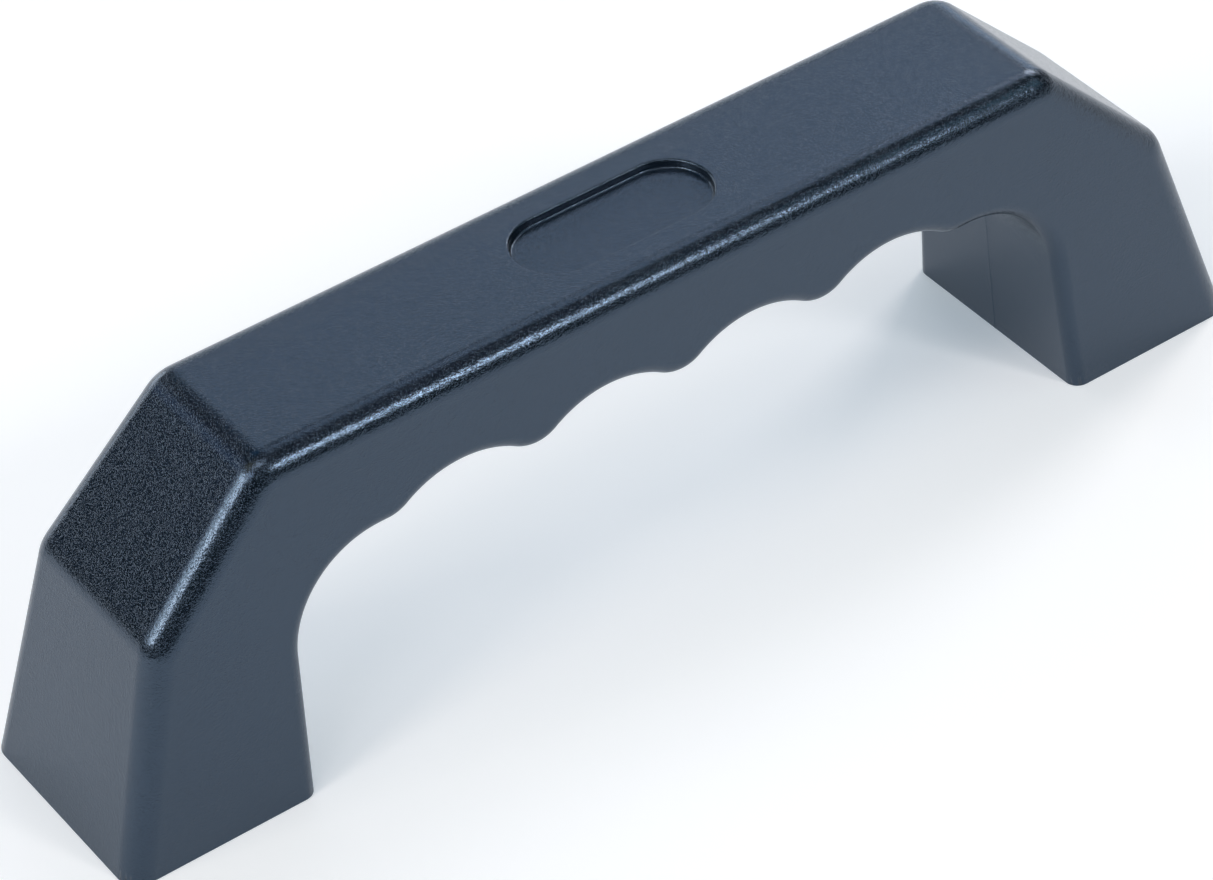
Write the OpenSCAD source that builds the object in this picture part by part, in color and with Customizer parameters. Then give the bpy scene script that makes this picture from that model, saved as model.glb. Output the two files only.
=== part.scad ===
// Moulded bar handle with a four-finger grip, a trapezoid foot at each end and
// a brass threaded insert moulded into the underside of each foot.
// Frame: origin at the centre of the mounting plane, +X along the grip, +Z up.

/* [Overall size] */
// Overall length over the two feet
handle_length = 180; // [165:1:240]
// Height of the flat top above the mounting plane
handle_height = 51; // [46:0.5:65]
// Width of the feet at the mounting plane
base_width = 35; // [30:0.5:50]
// Width that the drafted sides close in to at the flat top
top_width = 26; // [22:0.5:30]

/* [Ends] */
// Lean of the end faces, in degrees from upright
end_lean = 16.5; // [8:0.5:20]
// Height at which an end face turns into its chamfer
shoulder_height = 32; // [26:0.5:36]
// Slope of the chamfers, in degrees from level
chamfer_slope = 45; // [38:1:60]
// Radius of the bends below and above each chamfer
bend_radius = 6; // [5:0.5:12]

/* [Feet] */
// Length of each foot along the handle at the mounting plane
foot_length = 28; // [25:0.5:33]
// Lean of the feet's inner faces, in degrees from upright
inner_lean = 4; // [0:0.5:8]
// Radius of the inner corner between a foot and the grip
crook_radius = 14; // [8:0.5:18]

/* [Finger grip] */
// Number of finger grooves
finger_count = 4; // [2:1:4]
// Distance from one finger groove to the next
finger_pitch = 22.6; // [18:0.2:25]
// Depth of the finger grooves
groove_depth = 3.2; // [1.6:0.1:4.4]
// Radius of the ridges beside the grooves
ridge_radius = 6; // [4:0.5:8]
// Height of the hand space, from the mounting plane up to the ridges
hand_height = 34; // [28:0.5:36]

/* [Edges] */
// Rounding of the edges round the ends and the top
outer_edge_radius = 3.5; // [1:0.25:4.5]
// Rounding of the edges round the hand space
inner_edge_radius = 2; // [0.5:0.25:3.5]

/* [Top recess] */
// Length of the shallow recess in the top, taken halfway down its wall
recess_length = 29.4; // [20:0.2:60]
// Width of the recess halfway down its wall, which its round ends follow
recess_width = 12.4; // [8:0.2:14]
// Depth of the recess
recess_depth = 1.1; // [0.6:0.1:1.4]
// Radius of the roundings that meet in its wall, one from the rim and one from the floor
recess_rounding = 1.2; // [0.8:0.1:2]

/* [Threaded inserts] */
// Distance from each end of the handle to its threaded hole
insert_setback = 15; // [14:0.5:17]
// Length of an insert
insert_length = 16; // [14:0.5:20]
// Diameter over the knurls
insert_diameter = 12; // [11:0.5:13]
// Depth of the knurls
knurl_depth = 0.5; // [0.3:0.05:0.7]
// Number of knurl teeth round an insert
knurl_teeth = 26; // [18:1:32]
// Length of each of the two knurled bands
knurl_band_length = 5; // [3:0.25:5.5]
// Width of the groove between the bands that locks the insert in the moulding
lock_groove_width = 3; // [2:0.25:4]
// Depth of the lock groove below the plain core
lock_groove_depth = 0.7; // [0.3:0.1:1]
// Diameter of the drilled hole that the thread is cut in
hole_diameter = 6.8; // [6:0.1:7]
// Depth of the drilled hole
hole_depth = 13; // [10:0.5:13]
// Depth of the countersink at the mouth of the hole
countersink = 0.7; // [0.3:0.1:1]

/* [Colours] */
// Colour of the moulding
moulding_colour = "#3f4853";
// Colour of the brass
brass_colour = "#b8964a";

/* [Hidden] */

$fn = 64;
// Steps in a quarter round of an edge, and in each kind of arc in the outline
edge_steps = 6;
bend_steps = 6;
crook_steps = 12;
ridge_steps = 8;
groove_steps = 10;
recess_steps = 6;
// Stretches that the flat top is divided into
top_steps = 12;
// Overshoot of a cutting solid past the face that it opens through
past = 1;
// How far the knurl roots stand off the plain core
root_step = 0.1;

// Driving corners of the left half of the outer outline, as [x, z]
end_foot = [-handle_length / 2, 0];
shoulder = [end_foot.x + shoulder_height * tan(end_lean), shoulder_height];
top_corner = [shoulder.x + (handle_height - shoulder_height) / tan(chamfer_slope), handle_height];

// Grip curve: ridges and grooves are arcs tangent to each other, so the line
// between the centres of neighbouring arcs passes through the point they share
centre_span = (pow(finger_pitch / 2, 2) + pow(groove_depth, 2)) / (2 * groove_depth);
groove_radius = centre_span - ridge_radius;
ridge_z = hand_height + ridge_radius;
groove_z = ridge_z - centre_span + groove_depth;
grip_angle = asin(finger_pitch / 2 / centre_span);
last_ridge_x = finger_count * finger_pitch / 2;

// Inner corner: an arc tangent to the foot's leaning inner face and to the
// level stretch beside the last ridge, which its radius has to leave room for
inner_foot_x = handle_length / 2 - foot_length;
crook_room = ((inner_foot_x - last_ridge_x) * cos(inner_lean) - hand_height * sin(inner_lean))
    / (1 - sin(inner_lean));
crook = min(crook_radius, crook_room);
crook_z = hand_height - crook;
crook_x = inner_foot_x - (crook + crook_z * sin(inner_lean)) / cos(inner_lean);

insert_x = handle_length / 2 - insert_setback;
core_radius = insert_diameter / 2 - knurl_depth - root_step;
// The bands and the groove between them sit in the middle of the insert
first_band_z = (insert_length - lock_groove_width) / 2 - knurl_band_length;
lock_groove_z = (insert_length - lock_groove_width) / 2;
second_band_z = (insert_length + lock_groove_width) / 2;

// Half of the handle's width at height z
function half_width(z) = base_width / 2 + (top_width - base_width) / 2 * z / handle_height;

// Stations are [x, z, nx, nz], where n points out of the solid. An arc's
// stations run from one angle to another; side is 1 where the arc is the
// outside of a round and -1 where it is the inside of a hollow.
function arc(centre, r, from, to, steps, side) =
    [for (i = [0:steps]) let (a = from + (to - from) * i / steps)
        [centre.x + r * cos(a), centre.y + r * sin(a), side * cos(a), side * sin(a)]];

// Arc that rounds the corner between two straight runs, whose directions are
// given as angles, for an outline that turns to the right
function bend(corner, in_angle, out_angle) =
    let (turn = in_angle - out_angle,
         back = bend_radius * tan(turn / 2),
         start = corner - back * [cos(in_angle), sin(in_angle)],
         centre = start + bend_radius * [sin(in_angle), -cos(in_angle)])
    arc(centre, bend_radius, in_angle + 90, out_angle + 90, bend_steps, 1);

function mirrored(stations) =
    [for (i = [len(stations) - 1:-1:0]) let (s = stations[i]) [-s[0], s[1], -s[2], s[3]]];

// Outer outline, from the left foot over the top to the right foot
outer_left = concat(
    [[end_foot.x, 0, -cos(end_lean), sin(end_lean)]],
    bend(shoulder, 90 - end_lean, chamfer_slope),
    bend(top_corner, chamfer_slope, 0));
flat_x = outer_left[len(outer_left) - 1][0];
outer_line = concat(
    outer_left,
    [for (i = [1:top_steps - 1]) [flat_x * (1 - 2 * i / top_steps), handle_height, 0, 1]],
    mirrored(outer_left));

// One ridge at x, from the groove or corner before it to the one after it
function ridge(x, before, after) =
    arc([x, ridge_z], ridge_radius, 270 - before, 270 + after, ridge_steps, 1);

// One groove at x; its end points belong to the ridges beside it
function groove(x) = let (a = arc([x, groove_z], groove_radius, 90 + grip_angle, 90 - grip_angle,
        groove_steps, -1)) [for (i = [1:groove_steps - 1]) a[i]];

// Inner outline, from the left foot round the hand space to the right foot
crook_left = concat(
    [[-inner_foot_x, 0, cos(inner_lean), -sin(inner_lean)]],
    arc([-crook_x, crook_z], crook, 180 - inner_lean, 90, crook_steps, -1));
inner_line = concat(
    crook_left,
    [for (k = [0:finger_count]) let (x = k * finger_pitch - last_ridge_x)
        each concat(
            ridge(x, k == 0 ? 0 : grip_angle, k == finger_count ? 0 : grip_angle),
            k == finger_count ? [] : groove(x + finger_pitch / 2))],
    mirrored(crook_left));

// A station moved inwards by e. At the mounting plane it moves level instead,
// along that plane, so that the feet stay flat.
function moved(s, e) = s[1] == 0
    ? [s[0] - e / s[2], 0]
    : [s[0] - e * s[2], s[1] - e * s[3]];

// One line of the skin, at turn degrees round the rounded edge: 0 is where the
// edge leaves the outline's own surface and 90 is where it meets the flat side
function skin_line(stations, r, turn, side) =
    [for (s = stations) let (q = moved(s, r * (1 - cos(turn))))
        [q.x, side * (half_width(q.y) - r * (1 - sin(turn))), q.y]];

// Lines across the whole width, from the front side to the back side
function skin(stations, r) = concat(
    [for (i = [edge_steps:-1:0]) skin_line(stations, r, 90 * i / edge_steps, -1)],
    [for (i = [0:edge_steps]) skin_line(stations, r, 90 * i / edge_steps, 1)]);

// Triangles between neighbouring lines of a skin, whose points start at base
function skin_faces(lines, base, flip) = let (n = len(lines[0]))
    [for (i = [0:len(lines) - 2], j = [0:n - 2])
        let (a = base + i * n + j, b = a + 1, c = a + n + 1, d = a + n)
        each flip ? [[a, c, b], [a, d, c]] : [[a, b, c], [a, c, d]]];

// Triangles of a flat side, between the outer line from a and the inner line
// from b: a ladder whose next rung is always the shorter of the two possible
function side_faces(outer, inner, a, b, flip, i = 0, j = 0) =
    let (outer_ends = i == len(outer) - 1, inner_ends = j == len(inner) - 1)
    outer_ends && inner_ends ? [] :
    let (climb_outer = inner_ends || (!outer_ends
             && norm(outer[i + 1] - inner[j]) <= norm(outer[i] - inner[j + 1])),
         far = climb_outer ? a + i + 1 : b + j + 1)
    concat([flip ? [a + i, far, b + j] : [a + i, b + j, far]],
        side_faces(outer, inner, a, b, flip, climb_outer ? i + 1 : i, climb_outer ? j : j + 1));

module handle_form() {
    outer_skin = skin(outer_line, outer_edge_radius);
    inner_skin = skin(inner_line, inner_edge_radius);
    rows = len(outer_skin);
    n_out = len(outer_line);
    n_in = len(inner_line);
    base_in = rows * n_out;
    last_out = base_in - n_out;
    last_in = base_in + (rows - 1) * n_in;
    left_sole = concat([for (i = [0:rows - 1]) i * n_out],
        [for (i = [rows - 1:-1:0]) base_in + i * n_in]);
    right_sole = concat([for (i = [rows - 1:-1:0]) i * n_out + n_out - 1],
        [for (i = [0:rows - 1]) base_in + i * n_in + n_in - 1]);
    polyhedron(
        points = [for (line = concat(outer_skin, inner_skin)) each line],
        faces = concat(
            skin_faces(outer_skin, 0, false),
            skin_faces(inner_skin, base_in, true),
            side_faces(outer_skin[0], inner_skin[0], 0, base_in, false),
            side_faces(outer_skin[rows - 1], inner_skin[rows - 1], last_out, last_in, true),
            [left_sole, right_sole]));
}

// Section of the recess's wall, from its floor up to its rim, as [distance
// outwards from the middle of the wall, depth]: two arcs that meet at their steepest
recess_steepest = acos(1 - recess_depth / (2 * recess_rounding));
recess_spread = recess_rounding * sin(recess_steepest);
recess_floor_arc = [for (i = [0:recess_steps]) let (a = recess_steepest * i / recess_steps)
    [recess_rounding * sin(a) - recess_spread, recess_rounding * (1 - cos(a)) - recess_depth]];
recess_rim_arc = [for (i = [recess_steps - 1:-1:0]) let (a = recess_steepest * i / recess_steps)
    [recess_spread - recess_rounding * sin(a), recess_rounding * (cos(a) - 1)]];
recess_wall = [for (p = concat(recess_floor_arc, recess_rim_arc)) [p.x + recess_width / 2, p.y]];
rim_reach = recess_width / 2 + recess_spread;

module top_recess() {
    straight = recess_length - recess_width;
    translate([0, 0, handle_height]) {
        rotate([90, 0, 90])
            linear_extrude(straight, center = true)
                polygon(concat(recess_wall, [[rim_reach, past], [-rim_reach, past]],
                    [for (i = [len(recess_wall) - 1:-1:0]) [-recess_wall[i].x, recess_wall[i].y]]));
        for (side = [-1, 1])
            translate([side * straight / 2, 0, 0])
                rotate_extrude()
                    polygon(concat([[0, -recess_depth]], recess_wall, [[rim_reach, past], [0, past]]));
    }
}

// Straight knurl: a ring of pointed teeth round the core
module knurl(z, length) {
    translate([0, 0, z])
        linear_extrude(length)
            polygon([for (i = [0:2 * knurl_teeth - 1])
                let (a = 180 * i / knurl_teeth, r = insert_diameter / 2 - (i % 2) * knurl_depth)
                [r * cos(a), r * sin(a)]]);
}

// Outer form of an insert, and of the pocket that the moulding forms round it.
// below is how far it reaches under the mounting plane.
module insert_blank(below = 0) {
    difference() {
        translate([0, 0, -below])
            cylinder(h = insert_length + below, r = core_radius);
        translate([0, 0, lock_groove_z])
            difference() {
                cylinder(h = lock_groove_width, r = insert_diameter / 2);
                translate([0, 0, -past])
                    cylinder(h = lock_groove_width + 2 * past, r = core_radius - lock_groove_depth);
            }
    }
    knurl(first_band_z, knurl_band_length);
    knurl(second_band_z, knurl_band_length);
}

module insert(side) {
    color(brass_colour)
        translate([side * insert_x, 0, 0])
            difference() {
                insert_blank();
                translate([0, 0, -past])
                    cylinder(h = hole_depth + past, d = hole_diameter);
                translate([0, 0, -past])
                    cylinder(h = countersink + past, r1 = hole_diameter / 2 + countersink + past,
                        r2 = hole_diameter / 2);
            }
}

module handle_body() {
    color(moulding_colour)
        difference() {
            handle_form();
            top_recess();
            for (side = [-1, 1])
                translate([side * insert_x, 0, 0])
                    insert_blank(past);
        }
}

handle_body();
insert(-1);  // insert_left
insert(1);  // insert_right
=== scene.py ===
import math

import bpy
import numpy as np
from mathutils import Matrix, Vector
from mathutils.geometry import tessellate_polygon


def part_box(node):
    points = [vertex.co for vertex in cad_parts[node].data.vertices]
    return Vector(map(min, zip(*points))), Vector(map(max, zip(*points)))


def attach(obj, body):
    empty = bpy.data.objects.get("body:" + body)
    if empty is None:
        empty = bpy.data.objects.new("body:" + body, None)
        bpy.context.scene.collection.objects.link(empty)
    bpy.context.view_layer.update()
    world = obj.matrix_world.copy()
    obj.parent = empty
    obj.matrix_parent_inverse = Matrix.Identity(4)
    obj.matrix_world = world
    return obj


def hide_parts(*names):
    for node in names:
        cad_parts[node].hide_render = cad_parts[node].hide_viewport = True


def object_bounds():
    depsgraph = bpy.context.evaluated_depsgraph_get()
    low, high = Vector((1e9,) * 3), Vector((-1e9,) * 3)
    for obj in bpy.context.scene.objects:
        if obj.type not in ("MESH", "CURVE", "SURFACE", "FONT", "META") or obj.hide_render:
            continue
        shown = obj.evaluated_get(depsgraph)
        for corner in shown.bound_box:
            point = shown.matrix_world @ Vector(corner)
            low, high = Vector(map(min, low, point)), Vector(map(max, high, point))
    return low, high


# Looks of the moulded bar handle: the grained plastic body and its two brass
# inserts, on a pale floor in soft studio light. Sizes are in metres and angles
# in degrees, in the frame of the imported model.
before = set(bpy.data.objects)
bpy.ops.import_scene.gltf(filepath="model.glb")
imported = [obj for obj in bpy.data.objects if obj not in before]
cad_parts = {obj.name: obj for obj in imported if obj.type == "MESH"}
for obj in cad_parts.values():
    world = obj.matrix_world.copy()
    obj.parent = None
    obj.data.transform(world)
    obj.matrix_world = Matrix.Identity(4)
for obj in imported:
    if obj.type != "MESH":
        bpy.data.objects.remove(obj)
cad_low, cad_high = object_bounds()

MM = 0.001

# Overall sizes, from the frame
LENGTH = cad_high.x - cad_low.x
HEIGHT = cad_high.z - cad_low.z
BASE_WIDTH = cad_high.y - cad_low.y

# Sizes of the moulding
TOP_WIDTH = 26 * MM
END_LEAN = 16.5
SHOULDER_HEIGHT = 32 * MM
CHAMFER_SLOPE = 45
BEND_RADIUS = 6 * MM
FOOT_LENGTH = 28 * MM
INNER_LEAN = 4
CROOK_RADIUS = 14 * MM
FINGER_COUNT = 4
FINGER_PITCH = 22.6 * MM
GROOVE_DEPTH = 3.2 * MM
RIDGE_RADIUS = 6 * MM
HAND_HEIGHT = 34 * MM
OUTER_EDGE_RADIUS = 3.5 * MM
INNER_EDGE_RADIUS = 2 * MM
# How much half of the width changes with height
TAPER = (TOP_WIDTH - BASE_WIDTH) / 2 / HEIGHT

# Sizes of the recess in the top, halfway down its wall. The wall is steep and its
# rounds are small: each arc has a radius and the slope that it ends at, from the
# rim to the middle of the wall, and the lower half mirrors the upper one.
RECESS_LENGTH = 29.4 * MM
RECESS_WIDTH = 12.4 * MM
RECESS_ARCS = ((0.36 * MM, 80), (6.0 * MM, 83))

# Witness line that the mould's two side cores leave along the hand space
WITNESS_HALF_WIDTH = 0.14 * MM
WITNESS_HEIGHT = 0.045 * MM

# Height above the soles of the outlines' second stations, which keeps the shading
# of the walls apart from that of the soles
FOOT_STEP = 1.6 * MM

# Sizes of the inserts, which stand where the frame has them
INSERT_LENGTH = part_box("insert_left")[1].z
INSERT_RADIUS = (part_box("insert_left")[1].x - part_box("insert_left")[0].x) / 2
# Distance of each insert's axis from the middle
INSERT_X = (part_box("insert_right")[0].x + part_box("insert_right")[1].x) / 2
KNURL_DEPTH = 0.5 * MM
KNURL_TEETH = 26
KNURL_BAND_LENGTH = 5 * MM
KNURL_ROOT_STEP = 0.1 * MM
LOCK_GROOVE_WIDTH = 3 * MM
LOCK_GROOVE_DEPTH = 0.7 * MM
HOLE_RADIUS = 3.4 * MM
HOLE_DEPTH = 13 * MM
COUNTERSINK = 0.7 * MM
FACE_CHAMFER = 0.12 * MM
THREAD_RADIUS = 4 * MM
THREAD_PITCH = 1.25 * MM
THREAD_END = 12.3 * MM
# Flats on the thread's crests and at its roots, in pitches
THREAD_CREST = 1 / 4
THREAD_ROOT = 1 / 8

# Steps in a quarter round of an edge, in the arcs of the outlines, across the
# witness line, round each end of the recess and in each arc of its wall
EDGE_STEPS = 24
BEND_STEPS = 14
CROOK_STEPS = 32
RIDGE_STEPS = 18
GROOVE_STEPS = 26
WITNESS_STEPS = 4
RECESS_STEPS = 40
FILLET_STEPS = 4
# Steps round the thread, and rows in each pitch of it
THREAD_STEPS = 72
THREAD_ROWS = 12
# Decimal places of a metre at which two points count as one
WELD_PLACES = 9

# Range that most values of a noise lie in, and how much detail the noises have
NOISE_RANGE = (0.3, 0.7)
BROAD_DETAIL = 3.0
FINE_DETAIL = 1.0

# Finish of the plastic. The scales count waves in a metre.
PLASTIC_DARK = (0.0035, 0.0072, 0.0125, 1)
PLASTIC_LIGHT = (0.0045, 0.0088, 0.0155, 1)
PLASTIC_TONE_SCALE = 45
PLASTIC_INDEX = 1.6
PLASTIC_TINT = (0.515, 0.715, 1, 1)
PLASTIC_SHINE = 0.87
PLASTIC_ROUGHNESS = (0.15, 0.20)
SWELL_SCALE = 2400
SWELL_HEIGHT = 0.030 * MM
GRAIN_SCALE = 4600
GRAIN_HEIGHT = 0.025 * MM
FLECK_SCALE = 6500
FLECK_HEIGHT = 0.027 * MM
FLECK_RANGE = (0.55, 0.75)

# Finish of the brass
BRASS_DARK = (0.52, 0.36, 0.13, 1)
BRASS_LIGHT = (0.68, 0.50, 0.21, 1)
BRASS_STAIN_SCALE = 400
BRASS_ROUGHNESS = (0.24, 0.40)
BRASS_RING_PITCH = 0.2 * MM
BRASS_RING_HEIGHT = 0.004 * MM

# Floor, just under the soles
FLOOR_SIZE = 8
FLOOR_Z = -0.05 * MM
FLOOR_DARK = (0.86, 0.835, 0.83, 1)
FLOOR_LIGHT = (0.88, 0.855, 0.85, 1)
FLOOR_TONE_SCALE = 2
FLOOR_TONE_DETAIL = 2.0
FLOOR_ROUGHNESS = 0.7
FLOOR_GLOW = (0.25, 0.30, 0.34, 1)
FLOOR_GLOW_STRENGTH = 1.0

# Camera, from the photograph's outline and corners
IMAGE_WIDTH = 1213
FOCAL_PIXELS = 4755
SENSOR_WIDTH = 36
CLIP_START = 0.01
CLIP_END = 100
VIEW_AZIMUTH = -32.503
VIEW_ELEVATION = 40.351
VIEW_ROLL = -4.716
CAMERA_PLACE = Vector((-0.26049, -0.40318, 0.42147))

# Soft lights round the object: name, azimuth, elevation, width, height and the
# red, green and blue radiance. Each faces the centre from the same distance.
LIGHT_CENTRE = Vector((0, 0, HEIGHT / 2))
LIGHT_DISTANCE = 1.3
SOFTBOXES = (
    ("key", 26, 37, 0.18, 0.24, (23.6, 23.2, 22.7)),
    ("key_left", 15, 40, 0.20, 0.24, (7.12, 7.07, 6.98)),
    ("right", 58, 38, 0.42, 0.50, (0.57, 0.87, 0.92)),
    ("right_back", 114, 36, 0.36, 0.50, (7.85, 7.38, 7.13)),
    ("right_back_low", 128, 10, 0.42, 0.40, (0.94, 1.19, 1.51)),
    ("right_back_high", 120, 62, 0.50, 0.42, (1.02, 1.12, 1.26)),
    ("back", 150, 38, 0.80, 0.50, (0.79, 0.90, 1.04)),
    ("back_low", 152, 12, 0.80, 0.42, (1.10, 1.19, 1.26)),
    ("back_high", 178, 62, 0.50, 0.42, (0.05, 0.25, 0.43)),
    ("back_low_left", -168, 12, 0.80, 0.42, (3.25, 3.31, 3.33)),
    ("back_left", -138, 34, 0.40, 0.50, (0.30, 0.38, 0.55)),
    ("left_back", -114, 33, 0.34, 0.50, (1.05, 1.05, 1.10)),
    ("left_side", -98, 34, 0.34, 0.50, (4.60, 4.60, 4.40)),
    ("left", -82, 34, 0.30, 0.46, (9.90, 9.20, 8.60)),
    ("left_high", -95, 62, 0.50, 0.42, (0.64, 0.48, 0.24)),
    ("camera_left", -58, 46, 0.30, 0.34, (3.18, 3.19, 3.39)),
    ("camera_left_low", -68, 42, 0.30, 0.34, (1.50, 1.50, 1.50)),
    ("overhead", -34, 70, 0.60, 0.30, (3.64, 3.45, 3.34)),
)
WORLD_COLOUR = (0.8, 0.9, 1.0, 1)
WORLD_STRENGTH = 0.01


class Shell:
    """A mesh in the making: welded points, and faces with a normal at each corner."""

    def __init__(self):
        self.index = {}
        self.points = []
        self.faces = []
        self.normals = []

    def point(self, place):
        """The number of the point at a place, which is added where there is none yet."""
        key = tuple(round(float(c), WELD_PLACES) for c in place)
        if key not in self.index:
            self.index[key] = len(self.points)
            self.points.append(key)
        return self.index[key]

    def face(self, places, normals):
        """A face, less the corners that fall together; it needs three of them."""
        corners = [(self.point(p), n) for p, n in zip(places, normals)]
        kept = [c for i, c in enumerate(corners) if c[0] != corners[i - 1][0]]
        if len(kept) > 2:
            self.faces.append([c[0] for c in kept])
            self.normals.extend(tuple(c[1]) for c in kept)

    def skin(self, rows, normals, flip=False, closed=False):
        """Quads between neighbouring rows of points; flip turns them over."""
        count = len(rows[0])
        for i in range(len(rows) - 1):
            for j in range(count if closed else count - 1):
                k = (j + 1) % count
                order = [(i, j), (i, k), (i + 1, k), (i + 1, j)]
                if flip:
                    order.reverse()
                self.face([rows[a][b] for a, b in order], [normals[a][b] for a, b in order])

    def facets(self, rows, flip=False):
        """Flat quads between neighbouring closed rows of points."""
        count = len(rows[0])
        for i in range(len(rows) - 1):
            for j in range(count):
                k = (j + 1) % count
                places = [rows[i][j], rows[i][k], rows[i + 1][k], rows[i + 1][j]]
                if flip:
                    places.reverse()
                normal = np.cross(places[2] - places[0], places[3] - places[1])
                size = np.linalg.norm(normal)
                if size > 0:
                    self.face(places, [normal / size] * 4)

    def flat(self, loops, normal):
        """Triangles that fill a flat outline, less the holes that follow it."""
        loops = [[Vector(p) for p in loop] for loop in loops]
        places = [p for loop in loops for p in loop]
        up = Vector(normal).normalized()
        for triangle in tessellate_polygon(loops):
            a, b, c = (places[i] for i in triangle)
            if (b - a).cross(c - a).dot(up) < 0:
                b, c = c, b
            self.face([a, b, c], [up] * 3)

    def build(self, name, material):
        """The finished piece, linked to the scene."""
        mesh = bpy.data.meshes.new(name)
        mesh.from_pydata(self.points, [], self.faces)
        mesh.polygons.foreach_set("use_smooth", [True] * len(mesh.polygons))
        mesh.normals_split_custom_set([Vector(n).normalized() for n in self.normals])
        mesh.materials.append(material)
        piece = bpy.data.objects.new(name, mesh)
        bpy.context.scene.collection.objects.link(piece)
        return piece


def half_width(z):
    """Half of the handle's width at height z."""
    return BASE_WIDTH / 2 + TAPER * z


def wall_foot(x, lean, facing):
    """The two lowest stations of a leaning wall that starts at x on the sole."""
    tilt = math.radians(lean)
    nx, nz = facing * math.cos(tilt), -facing * math.sin(tilt)
    return [[x + z * math.tan(tilt), z, nx, nz] for z in (0, FOOT_STEP)]


def arc(centre, radius, start, end, steps, side):
    """Stations [x, z, nx, nz] along an arc; side is 1 outside a round and -1 in a hollow."""
    turn = np.radians(np.linspace(start, end, steps + 1))
    cos, sin = np.cos(turn), np.sin(turn)
    x, z = centre
    return np.stack([x + radius * cos, z + radius * sin, side * cos, side * sin], axis=1)


def bend(corner, in_angle, out_angle):
    """The arc that rounds the corner between two straight runs at those angles."""
    back = BEND_RADIUS * math.tan(math.radians(in_angle - out_angle) / 2)
    angle = math.radians(in_angle)
    start_x = corner[0] - back * math.cos(angle)
    start_z = corner[1] - back * math.sin(angle)
    centre = (start_x + BEND_RADIUS * math.sin(angle), start_z - BEND_RADIUS * math.cos(angle))
    return arc(centre, BEND_RADIUS, in_angle + 90, out_angle + 90, BEND_STEPS, 1)


def mirrored(stations):
    """The same stations on the handle's other half, in the order that goes on from them."""
    return stations[::-1] * [-1, 1, -1, 1]


def outer_line():
    """Stations of the outer outline, from the left foot over the top to the right foot."""
    shoulder_x = SHOULDER_HEIGHT * math.tan(math.radians(END_LEAN)) - LENGTH / 2
    rise = HEIGHT - SHOULDER_HEIGHT
    top_x = shoulder_x + rise / math.tan(math.radians(CHAMFER_SLOPE))
    left = np.vstack([
        wall_foot(-LENGTH / 2, END_LEAN, -1),
        bend((shoulder_x, SHOULDER_HEIGHT), 90 - END_LEAN, CHAMFER_SLOPE),
        bend((top_x, HEIGHT), CHAMFER_SLOPE, 0),
    ])
    return np.vstack([left, mirrored(left)])


def inner_line():
    """Stations of the inner outline: foot, inner corner, ridges and grooves, corner, foot."""
    half_pitch = FINGER_PITCH / 2
    span = (half_pitch ** 2 + GROOVE_DEPTH ** 2) / (2 * GROOVE_DEPTH)
    ridge_z = HAND_HEIGHT + RIDGE_RADIUS
    groove_z = ridge_z - span + GROOVE_DEPTH
    grip_angle = math.degrees(math.asin(half_pitch / span))
    last_ridge_x = FINGER_COUNT * half_pitch
    lean = math.radians(INNER_LEAN)
    foot_x = LENGTH / 2 - FOOT_LENGTH
    crook_z = HAND_HEIGHT - CROOK_RADIUS
    crook_x = foot_x - (CROOK_RADIUS + crook_z * math.sin(lean)) / math.cos(lean)
    corner = np.vstack([
        wall_foot(-foot_x, INNER_LEAN, 1),
        arc((-crook_x, crook_z), CROOK_RADIUS, 180 - INNER_LEAN, 90, CROOK_STEPS, -1),
    ])
    stretches = [corner]
    for k in range(FINGER_COUNT + 1):
        x = k * FINGER_PITCH - last_ridge_x
        start = 270 if k == 0 else 270 - grip_angle
        end = 270 if k == FINGER_COUNT else 270 + grip_angle
        stretches.append(arc((x, ridge_z), RIDGE_RADIUS, start, end, RIDGE_STEPS, 1))
        if k < FINGER_COUNT:
            groove = arc((x + half_pitch, groove_z), span - RIDGE_RADIUS,
                         90 + grip_angle, 90 - grip_angle, GROOVE_STEPS, -1)
            stretches.append(groove[1:-1])
    stretches.append(mirrored(corner))
    return np.vstack(stretches)


def unit(vectors):
    """The same vectors, each of length 1."""
    return vectors / np.linalg.norm(vectors, axis=-1, keepdims=True)


def skin_row(line, radius, turn, side):
    """One line of a skin: 0 degrees is on the outline's surface and 90 on the flat side."""
    x, z, nx, nz = line.T
    cos, sin = math.cos(math.radians(turn)), math.sin(math.radians(turn))
    inset = radius * (1 - cos)
    at_foot = z == 0
    step = np.divide(inset, nx, out=inset * nx, where=at_foot)
    q_z = np.where(at_foot, 0, z - inset * nz)
    y = side * (half_width(q_z) - radius * (1 - sin))
    normals = np.stack([cos * nx, np.full(len(x), side * sin), cos * nz - TAPER * sin], axis=1)
    return np.stack([x - step, y, q_z], axis=1), unit(normals)


def witness_rows(line):
    """Lines of the inner skin that cross the low ridge where the side cores met."""
    x, z, nx, nz = line.T
    rows = []
    for u in np.linspace(-1, 1, WITNESS_STEPS + 1):
        rise = WITNESS_HEIGHT * (1 + math.cos(math.pi * u)) / 2
        slope = -WITNESS_HEIGHT * math.pi * math.sin(math.pi * u) / (2 * WITNESS_HALF_WIDTH)
        y = np.full(len(x), u * WITNESS_HALF_WIDTH)
        lift = np.where(z == 0, 0, rise * nz)
        points = np.stack([x + rise * nx, y, z + lift], axis=1)
        rows.append((points, unit(np.stack([nx, np.full(len(x), -slope), nz], axis=1))))
    return rows


def skin_rows(line, radius, middle=()):
    """All lines of a skin, from the front side to the back side of the handle."""
    turns = np.linspace(0, 90, EDGE_STEPS + 1)
    front = [skin_row(line, radius, turn, -1) for turn in turns[::-1]]
    back = [skin_row(line, radius, turn, 1) for turn in turns]
    rows = front + list(middle) + back
    return [r[0] for r in rows], [r[1] for r in rows]


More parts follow.
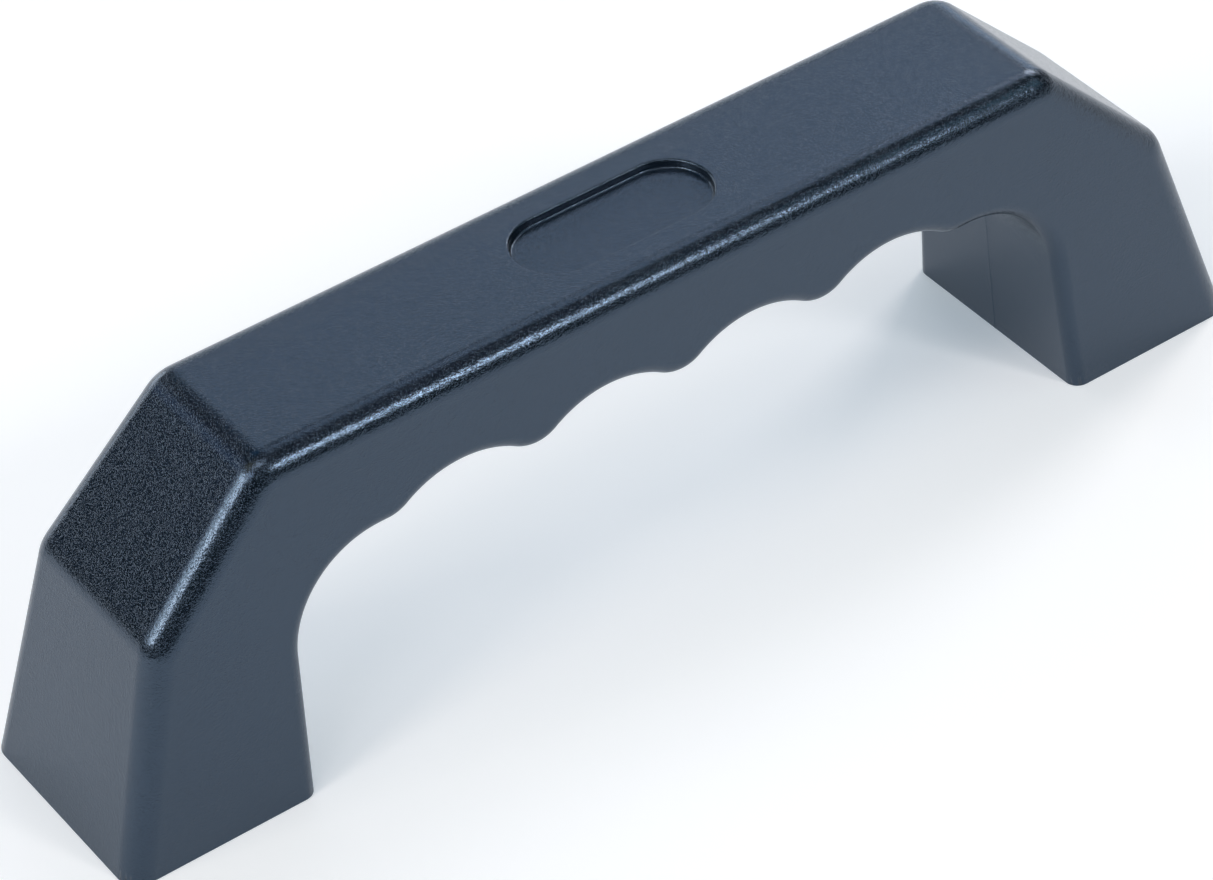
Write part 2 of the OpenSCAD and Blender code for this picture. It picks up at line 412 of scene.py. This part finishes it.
def recess_section():
    """The recess's section as (radius, z, outward part, upward part) of points and normals."""
    rows = [(0.0, 0.0, 0.0)]
    for radius, end in RECESS_ARCS:
        start, reach, drop = rows[-1]
        for slope in np.linspace(start, math.radians(end), FILLET_STEPS + 1)[1:]:
            rows.append((slope, reach + radius * (math.sin(slope) - math.sin(start)),
                         drop + radius * (math.cos(start) - math.cos(slope))))
    reach, drop = rows[-1][1:]
    middle = RECESS_WIDTH / 2
    rim = [(middle + reach - r, HEIGHT - d, -math.sin(slope), math.cos(slope))
           for slope, r, d in rows]
    floor = [(middle - reach + r, HEIGHT - 2 * drop + d, -math.sin(slope), math.cos(slope))
             for slope, r, d in rows[-2::-1]]
    return rim + floor


def recess_rows():
    """Closed rows of points and normals round the recess, from its rim to its floor."""
    half_straight = (RECESS_LENGTH - RECESS_WIDTH) / 2
    round_turn = np.radians(np.linspace(-90, 90, RECESS_STEPS + 1))
    turn = np.concatenate([round_turn, round_turn + math.pi])
    centre_x = np.repeat([half_straight, -half_straight], RECESS_STEPS + 1)
    cos, sin, level = np.cos(turn), np.sin(turn), np.ones(len(turn))
    rows, normals = [], []
    for radius, z, outward, upward in recess_section():
        rows.append(np.stack([centre_x + radius * cos, radius * sin, z * level], axis=1))
        normals.append(np.stack([outward * cos, outward * sin, upward * level], axis=1))
    return rows, normals


def ring(x, radii, z):
    """A closed row of points round an insert's axis."""
    turn = 2 * np.pi * np.arange(len(radii)) / len(radii)
    height = np.full(len(radii), z)
    return np.stack([x + radii * np.cos(turn), radii * np.sin(turn), height], axis=1)


def insert_rows(x, chamfer):
    """Rows up the outside of an insert: plain core, knurl, lock groove, knurl and core."""
    tips = np.full(2 * KNURL_TEETH, INSERT_RADIUS)
    knurl = tips - KNURL_DEPTH * (np.arange(len(tips)) % 2)
    core = tips - KNURL_DEPTH - KNURL_ROOT_STEP
    groove = core - LOCK_GROOVE_DEPTH
    groove_low = (INSERT_LENGTH - LOCK_GROOVE_WIDTH) / 2
    groove_high = (INSERT_LENGTH + LOCK_GROOVE_WIDTH) / 2
    band_low = groove_low - KNURL_BAND_LENGTH
    band_high = groove_high + KNURL_BAND_LENGTH
    steps = [(core - chamfer, 0), (core, chamfer), (core, band_low), (knurl, band_low),
             (knurl, groove_low), (groove, groove_low), (groove, groove_high),
             (knurl, groove_high), (knurl, band_high), (core, band_high), (core, INSERT_LENGTH)]
    return [ring(x, radii, z) for radii, z in steps]


def thread_depth(turns):
    """Share of the thread's depth at a place in pitches: 0 on a crest and 1 at a root."""
    place = np.mod(turns, 1)
    flank = (1 - THREAD_CREST - THREAD_ROOT) / 2
    rise = np.clip((place - THREAD_CREST) / flank, 0, 1)
    fall = np.clip((1 - place) / flank, 0, 1)
    return np.minimum(rise, fall)


def thread_rows(x):
    """Rows up the threaded hole, which starts in the countersink and runs out above."""
    count = int(THREAD_END / THREAD_PITCH * THREAD_ROWS)
    angle = np.arange(THREAD_STEPS) / THREAD_STEPS
    rows = []
    for z in np.linspace(0, THREAD_END, count + 1):
        depth = (THREAD_RADIUS - HOLE_RADIUS) * min(1, (THREAD_END - z) / THREAD_PITCH)
        thread = HOLE_RADIUS + depth * thread_depth(z / THREAD_PITCH - angle)
        cone = HOLE_RADIUS + COUNTERSINK - z
        rows.append(ring(x, np.maximum(thread, cone), z))
    rows.append(ring(x, np.full(THREAD_STEPS, HOLE_RADIUS), HOLE_DEPTH))
    return rows


def row_normals(rows):
    """Smooth normals of closed rows, towards the axis that they surround."""
    grid = np.array(rows)
    round_it = np.roll(grid, -1, axis=1) - np.roll(grid, 1, axis=1)
    up_it = np.gradient(grid, axis=0)
    return unit(np.cross(up_it, round_it))


def make_body(material):
    """The moulding: outer skin and recess, hand space, drafted sides, soles and pockets."""
    shell = Shell()
    outer, outer_normals = skin_rows(outer_line(), OUTER_EDGE_RADIUS)
    hand_line = inner_line()
    inner, inner_normals = skin_rows(hand_line, INNER_EDGE_RADIUS, witness_rows(hand_line))
    shell.skin(inner, inner_normals, flip=True)

    # The flat top lies between the two halves of the outer skin's stations, and
    # between its two middle rows
    middle = EDGE_STEPS
    half = len(outer[0]) // 2
    shell.skin(outer[:middle + 1], outer_normals[:middle + 1])
    shell.skin(outer[middle + 1:], outer_normals[middle + 1:])
    for part in (slice(0, half), slice(half, None)):
        shell.skin([row[part] for row in outer[middle:middle + 2]],
                   [row[part] for row in outer_normals[middle:middle + 2]])
    front, back = outer[middle], outer[middle + 1]
    top = [front[half - 1], front[half], back[half], back[half - 1]]
    rows, normals = recess_rows()
    shell.flat([top, rows[0]], (0, 0, 1))
    shell.skin(rows, normals, closed=True)
    shell.flat([rows[-1]], (0, 0, 1))

    for row, side in ((0, -1), (-1, 1)):
        outline = list(outer[row]) + list(inner[row][::-1])
        shell.flat([outline], (0, side, -TAPER))

    for name, end in (("insert_left", 0), ("insert_right", -1)):
        low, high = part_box(name)
        pocket = insert_rows((low.x + high.x) / 2, 0)
        sole = [row[end] for row in outer] + [row[end] for row in inner[::-1]]
        shell.flat([sole, pocket[0]], (0, 0, -1))
        shell.facets(pocket, flip=True)
        shell.flat([pocket[-1]], (0, 0, -1))
    return shell.build("grip_moulding", material)


def make_insert(node, material):
    """A brass insert: knurled outside, faced end, countersink and cut thread."""
    low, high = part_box(node)
    x = (low.x + high.x) / 2
    shell = Shell()
    outside = insert_rows(x, FACE_CHAMFER)
    shell.facets(outside)
    shell.flat([outside[-1]], (0, 0, 1))
    inside = thread_rows(x)
    shell.flat([outside[0], inside[0]], (0, 0, -1))
    shell.skin(inside, row_normals(inside), flip=True, closed=True)
    shell.flat([inside[-1]], (0, 0, -1))
    return shell.build(node.replace("insert", "threaded_insert"), material)


class Nodes:
    """A material's node tree, with short calls to add and link its nodes."""

    def __init__(self, name):
        self.material = bpy.data.materials.new(name)
        self.material.use_nodes = True
        self.tree = self.material.node_tree
        self.shader = self.tree.nodes["Principled BSDF"]
        coords = self.tree.nodes.new("ShaderNodeTexCoord")
        self.place = coords.outputs["Object"]

    def link(self, value, socket):
        """Give a socket a plain value, or link it to the output that supplies one."""
        if isinstance(value, bpy.types.NodeSocket):
            self.tree.links.new(value, socket)
        else:
            socket.default_value = value

    def shade(self, name, value):
        """Give one of the shader's own sockets its value."""
        self.link(value, self.shader.inputs[name])

    def noise(self, scale, detail):
        """Noise in the object's own coordinates."""
        node = self.tree.nodes.new("ShaderNodeTexNoise")
        self.link(self.place, node.inputs["Vector"])
        node.inputs["Scale"].default_value = scale
        node.inputs["Detail"].default_value = detail
        return node.outputs["Fac"]

    def math(self, operation, a, b=0.0):
        """The result of a mathematical operation on one or two values."""
        node = self.tree.nodes.new("ShaderNodeMath")
        node.operation = operation
        self.link(a, node.inputs[0])
        self.link(b, node.inputs[1])
        return node.outputs[0]

    def spread(self, value, low=0, high=1, part=NOISE_RANGE):
        """A value, of which the part given becomes low to high."""
        node = self.tree.nodes.new("ShaderNodeMapRange")
        self.link(value, node.inputs["Value"])
        for name, number in zip(("From Min", "From Max", "To Min", "To Max"), (*part, low, high)):
            node.inputs[name].default_value = number
        return node.outputs[0]

    def mix(self, share, a, b):
        """The colour a, turned into b as the share rises."""
        node = self.tree.nodes.new("ShaderNodeMix")
        node.data_type = "RGBA"
        self.link(share, node.inputs["Factor"])
        self.link(a, node.inputs["A"])
        self.link(b, node.inputs["B"])
        return node.outputs["Result"]

    def bump(self, height, distance, normal=None):
        """A normal that follows a relief as high as the distance, on top of another."""
        node = self.tree.nodes.new("ShaderNodeBump")
        node.inputs["Distance"].default_value = distance
        self.link(height, node.inputs["Height"])
        if normal is not None:
            self.link(normal, node.inputs["Normal"])
        return node.outputs["Normal"]


def moulded_plastic():
    """Slate-black plastic with the fine grain of a spark-eroded mould."""
    nodes = Nodes("moulded_plastic")
    broad = nodes.noise(PLASTIC_TONE_SCALE, BROAD_DETAIL)
    fine = nodes.noise(GRAIN_SCALE, FINE_DETAIL)
    nodes.shade("Base Color", nodes.mix(nodes.spread(broad), PLASTIC_DARK, PLASTIC_LIGHT))
    nodes.shade("IOR", PLASTIC_INDEX)
    nodes.shade("Specular Tint", PLASTIC_TINT)
    nodes.shade("Specular IOR Level", PLASTIC_SHINE)
    nodes.shade("Roughness", nodes.spread(fine, *PLASTIC_ROUGHNESS))
    swell = nodes.bump(nodes.noise(SWELL_SCALE, FINE_DETAIL), SWELL_HEIGHT)
    grain = nodes.bump(fine, GRAIN_HEIGHT, swell)
    flecks = nodes.spread(nodes.noise(FLECK_SCALE, FINE_DETAIL), part=FLECK_RANGE)
    nodes.shade("Normal", nodes.bump(flecks, FLECK_HEIGHT, grain))
    return nodes.material


def turned_brass():
    """Brass with the rings that facing in a lathe leaves."""
    nodes = Nodes("turned_brass")
    axes = nodes.tree.nodes.new("ShaderNodeSeparateXYZ")
    nodes.link(nodes.place, axes.inputs[0])
    along = nodes.math("SUBTRACT", nodes.math("ABSOLUTE", axes.outputs["X"]), INSERT_X)
    across = axes.outputs["Y"]
    squares = nodes.math("ADD", nodes.math("MULTIPLY", along, along),
                         nodes.math("MULTIPLY", across, across))
    radius = nodes.math("SQRT", squares)
    rings = nodes.math("SINE", nodes.math("MULTIPLY", radius, 2 * math.pi / BRASS_RING_PITCH))
    stain = nodes.noise(BRASS_STAIN_SCALE, BROAD_DETAIL)
    nodes.shade("Metallic", 1.0)
    nodes.shade("Base Color", nodes.mix(nodes.spread(stain), BRASS_DARK, BRASS_LIGHT))
    nodes.shade("Roughness", nodes.spread(stain, *BRASS_ROUGHNESS))
    nodes.shade("Normal", nodes.bump(rings, BRASS_RING_HEIGHT))
    return nodes.material


def floor_surface():
    """Smooth pale paper, lit a little from below as on a light table."""
    nodes = Nodes("pale_floor")
    tone = nodes.noise(FLOOR_TONE_SCALE, FLOOR_TONE_DETAIL)
    nodes.shade("Base Color", nodes.mix(nodes.spread(tone), FLOOR_DARK, FLOOR_LIGHT))
    nodes.shade("Roughness", FLOOR_ROUGHNESS)
    nodes.shade("Emission Color", FLOOR_GLOW)
    nodes.shade("Emission Strength", FLOOR_GLOW_STRENGTH)
    return nodes.material


def make_floor():
    """The plane that the handle stands on."""
    bpy.ops.mesh.primitive_plane_add(size=FLOOR_SIZE, location=(0, 0, FLOOR_Z))
    floor = bpy.context.object
    floor.name = "floor"
    floor.data.materials.append(floor_surface())


def direction(azimuth, elevation):
    """The unit vector towards a place round the object; azimuth 0 is in front, 90 at its right."""
    a, e = math.radians(azimuth), math.radians(elevation)
    return Vector((math.sin(a) * math.cos(e), -math.cos(a) * math.cos(e), math.sin(e)))


def add_softbox(name, azimuth, elevation, width, height, radiance):
    """A soft area light that faces the object; its power follows from its radiance."""
    strength = max(radiance)
    light = bpy.data.lights.new(name, "AREA")
    light.shape = "RECTANGLE"
    light.size, light.size_y = width, height
    light.energy = strength * math.pi * width * height
    light.color = [channel / strength for channel in radiance]
    lamp = bpy.data.objects.new(name, light)
    away = direction(azimuth, elevation)
    lamp.location = LIGHT_CENTRE + away * LIGHT_DISTANCE
    lamp.rotation_euler = away.to_track_quat("Z", "Y").to_euler()
    bpy.context.scene.collection.objects.link(lamp)


def add_camera():
    """The photograph's view, which is turned a little about its own axis."""
    data = bpy.data.cameras.new("camera")
    data.sensor_width = SENSOR_WIDTH
    data.sensor_fit = "HORIZONTAL"
    data.lens = FOCAL_PIXELS / IMAGE_WIDTH * SENSOR_WIDTH
    data.clip_start, data.clip_end = CLIP_START, CLIP_END
    camera = bpy.data.objects.new("camera", data)
    back = direction(VIEW_AZIMUTH, VIEW_ELEVATION)
    right = Vector((0, 0, 1)).cross(back).normalized()
    up = back.cross(right)
    turn = Matrix.Rotation(math.radians(VIEW_ROLL), 3, back)
    axes = Matrix((turn @ right, turn @ up, back)).transposed()
    camera.matrix_world = Matrix.Translation(CAMERA_PLACE) @ axes.to_4x4()
    bpy.context.scene.collection.objects.link(camera)
    bpy.context.scene.camera = camera


def set_world():
    """The faint light that comes from all round."""
    world = bpy.data.worlds.new("studio")
    world.use_nodes = True
    background = world.node_tree.nodes["Background"]
    background.inputs["Color"].default_value = WORLD_COLOUR
    background.inputs["Strength"].default_value = WORLD_STRENGTH
    bpy.context.scene.world = world


plastic = moulded_plastic()
brass = turned_brass()

body = make_body(plastic)
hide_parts("handle_body")
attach(body, "root")

for node in ("insert_left", "insert_right"):
    insert = make_insert(node, brass)
    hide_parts(node)
    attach(insert, "root")

make_floor()
for softbox in SOFTBOXES:
    add_softbox(*softbox)
set_world()
add_camera()
bpy.context.scene.view_settings.view_transform = "Standard"
